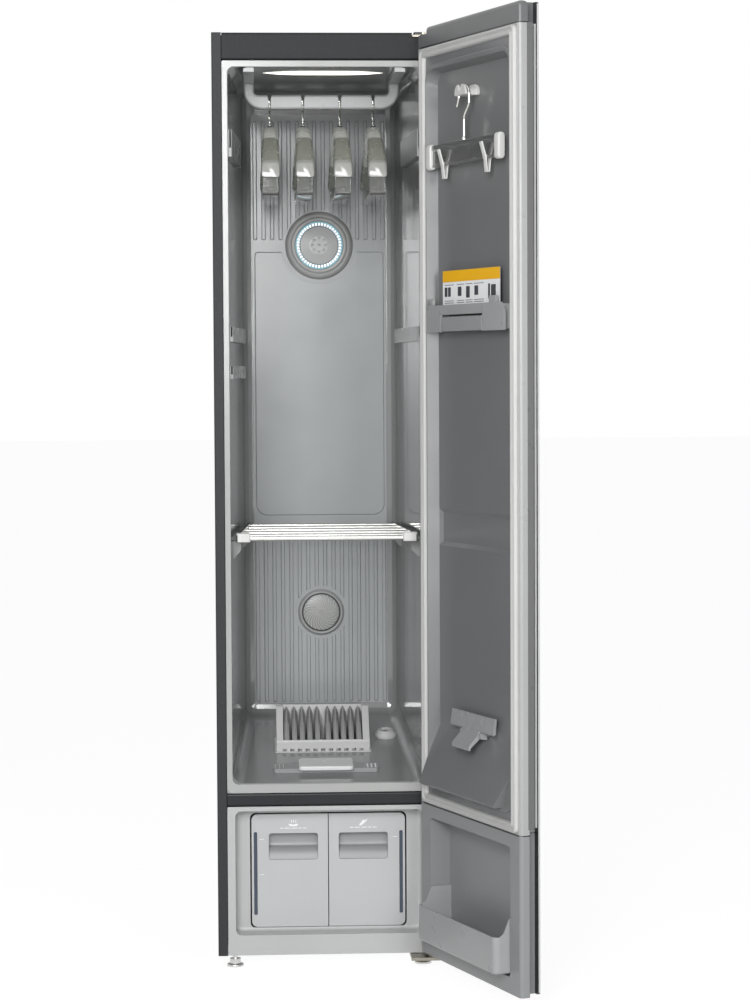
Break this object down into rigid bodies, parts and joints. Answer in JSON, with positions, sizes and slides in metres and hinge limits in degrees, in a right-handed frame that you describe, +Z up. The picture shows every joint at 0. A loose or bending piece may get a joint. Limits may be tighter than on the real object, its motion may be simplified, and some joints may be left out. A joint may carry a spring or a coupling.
{
  "type": "clothes care steam cabinet",
  "caption": "Tall steel clothes care cabinet with a moulded inner liner, swaying hanger bar, shelf, floor filter, pull-out water tanks and a full-height hinged glass door with a lined inside.",
  "frame": {"origin": "on the floor, at the middle of the rectangle of the four levelling feet", "axes": "+Z up, -Y towards the front where the door is, +X towards the hinge side"},
  "size_m": [0.6018, 0.9516, 1.862],
  "materials": {
    "steel_dark": "fine dark texture",
    "header_dark": "satin dark moulding",
    "band_black": "gloss black",
    "liner_grey": "smooth light grey moulding",
    "duct_cover_grey": "fine ribbed light grey moulding",
    "outlet_grey": "satin grey",
    "light_clear": "frosted clear ring",
    "outlet_disc": "dark satin",
    "nozzle_chrome": "bright plated vanes",
    "lens_white": "frosted white lens",
    "rail_grey": "satin mid grey",
    "bracket_grey": "satin mid grey",
    "galvanised": "zinc-coated sheet",
    "foot_black": "black foot",
    "hinge_steel": "dark plated steel",
    "trim_black": "satin black",
    "kick_grey": "light grey moulding",
    "compressor_black": "satin black",
    "boiler_jacket": "insulating jacket",
    "fan_white": "white moulding",
    "duct_white": "white moulding",
    "glass_dark": "dark tinted back-painted glass",
    "door_grey": "light grey foam-filled frame",
    "door_liner_grey": "grey satin liner",
    "gasket_grey": "soft seal",
    "basket_smoke": "smoked clear moulding",
    "hook_grey": "light grey moulding",
    "holder_grey": "light grey moulding",
    "lever_grey": "dark grey moulding",
    "clip_grey": "grey moulding",
    "bar_grey": "satin silver-grey moulding",
    "wire_steel": "bright bent wire",
    "shoulder_grey": "dark grey moulding",
    "shelf_steel": "bright tube and caps",
    "filter_grey": "grey moulding",
    "mesh_dark": "fine pleated mesh",
    "port_grey": "dark grey cap",
    "aroma_black": "satin dark tray",
    "aroma_lid": "satin grey lid",
    "tank_front_grey": "satin grey front",
    "tank_smoke": "smoked clear container",
    "bar_smoke": "smoked clear bar",
    "clips_black": "satin black"
  },
  "bodies": {
    "cabinet": {"left_side_panel": "steel_dark", "right_side_panel": "steel_dark", "top_panel": "steel_dark", "back_cover": "galvanised", "base_pan": "galvanised", "header_rail": "header_dark", "divider_band": "band_black", "inner_liner": "liner_grey", "rear_duct_cover": "duct_cover_grey", "air_outlet_bezel": "outlet_grey", "air_outlet_light_ring": "light_clear", "air_outlet_disc": "outlet_disc", "steam_nozzle": "nozzle_chrome", "ceiling_light_lens": "lens_white", "ceiling_rails": "rail_grey", "wall_brackets": "bracket_grey", "drain_port_cap": "port_grey", "tank_bay": "kick_grey", "levelling_feet": "foot_black", "hinge_brackets": "hinge_steel", "top_hinge_cover": "trim_black", "compressor": "compressor_black", "steam_generator": "boiler_jacket", "circulation_fan": "fan_white", "air_duct": "duct_white", "cord_gland": "trim_black"},
    "door": {"door_glass": "glass_dark", "door_frame": "door_grey", "door_top_cap": "door_grey", "door_lower_panel": "kick_grey", "door_liner": "door_liner_grey", "door_gasket": "gasket_grey", "door_basket": "basket_smoke", "door_hook": "hook_grey", "holder_bar": "holder_grey", "hem_clip_base": "clip_grey"},
    "bar": {"hanger_bar": "bar_grey"},
    "shelf": {"shelf_frame": "shelf_steel", "shelf_rods": "shelf_steel"},
    "filter": {"lint_filter_frame": "filter_grey", "lint_filter_pleats": "mesh_dark"},
    "aroma_kit": {"aroma_tray": "aroma_black", "aroma_handle": "aroma_lid"},
    "supply": {"supply_tank": "tank_smoke", "supply_tank_front": "tank_front_grey"},
    "drain": {"drain_tank": "tank_smoke", "drain_tank_front": "tank_front_grey"},
    "trouser_hanger": {"trouser_hanger_hook": "wire_steel", "trouser_hanger_bar": "bar_smoke", "trouser_hanger_clips": "clips_black"},
    "lever": {"holder_lever": "lever_grey"},
    "hem_flap": {"hem_clip_flap": "clip_grey"},
    "hanger_1": {"hanger_1_hook": "wire_steel", "hanger_1_shoulder": "shoulder_grey"},
    "hanger_2": {"hanger_2_hook": "wire_steel", "hanger_2_shoulder": "shoulder_grey"},
    "hanger_3": {"hanger_3_hook": "wire_steel", "hanger_3_shoulder": "shoulder_grey"},
    "hanger_4": {"hanger_4_hook": "wire_steel", "hanger_4_shoulder": "shoulder_grey"}
  },
  "joints": [
    {"name": "door_hinge", "type": "hinge", "parent": "cabinet", "child": "door", "pos_m": [0.2071, -0.2927, 0], "axis": [0, 0, 1], "range_deg": [-111.2, 6.8]},
    {"name": "bar_sway", "type": "slide", "parent": "cabinet", "child": "bar", "axis": [1, 0, 0], "range_m": [-0.007, 0.007]},
    {"name": "shelf_slide", "type": "slide", "parent": "cabinet", "child": "shelf", "axis": [0, -1, 0], "range_m": [0, 0.3]},
    {"name": "filter_lift", "type": "slide", "parent": "cabinet", "child": "filter", "axis": [0, -0.1644, 0.9864], "range_m": [0, 0.12]},
    {"name": "aroma_kit_lift", "type": "slide", "parent": "cabinet", "child": "aroma_kit", "axis": [0, -0.1644, 0.9864], "range_m": [0, 0.06]},
    {"name": "supply_tank_slide", "type": "slide", "parent": "cabinet", "child": "supply", "axis": [0, -1, 0], "range_m": [0, 0.3]},
    {"name": "drain_tank_slide", "type": "slide", "parent": "cabinet", "child": "drain", "axis": [0, -1, 0], "range_m": [0, 0.3]},
    {"name": "trouser_hanger_sway", "type": "hinge", "parent": "door", "child": "trouser_hanger", "pos_m": [0.25729, -0.48292, 1.708], "axis": [-0.9323, -0.3616, 0], "range_deg": [-4, 4]},
    {"name": "holder_lever_hinge", "type": "hinge", "parent": "door", "child": "lever", "pos_m": [0.25704, -0.47122, 1.27], "axis": [0.3616, -0.9323, 0], "range_deg": [0, 20], "stiffness_Nm_per_rad": 0.05, "springref_deg": -11.46},
    {"name": "hem_flap_hinge", "type": "hinge", "parent": "door", "child": "hem_flap", "pos_m": [0.26872, -0.49029, 0.498], "axis": [0.3616, -0.9323, 0], "range_deg": [0, 20], "stiffness_Nm_per_rad": 0.3, "springref_deg": -11.46},
    {"name": "hanger_1_swing", "type": "hinge", "parent": "bar", "child": "hanger_1", "pos_m": [-0.10675, -0.024, 1.7395], "axis": [1, 0, 0], "range_deg": [-8, 8]},
    {"name": "hanger_2_swing", "type": "hinge", "parent": "bar", "child": "hanger_2", "pos_m": [-0.038, -0.024, 1.7395], "axis": [1, 0, 0], "range_deg": [-8, 8]},
    {"name": "hanger_3_swing", "type": "hinge", "parent": "bar", "child": "hanger_3", "pos_m": [0.038, -0.024, 1.7395], "axis": [1, 0, 0], "range_deg": [-8, 8]},
    {"name": "hanger_4_swing", "type": "hinge", "parent": "bar", "child": "hanger_4", "pos_m": [0.10675, -0.024, 1.7395], "axis": [1, 0, 0], "range_deg": [-8, 8]}
  ]
}
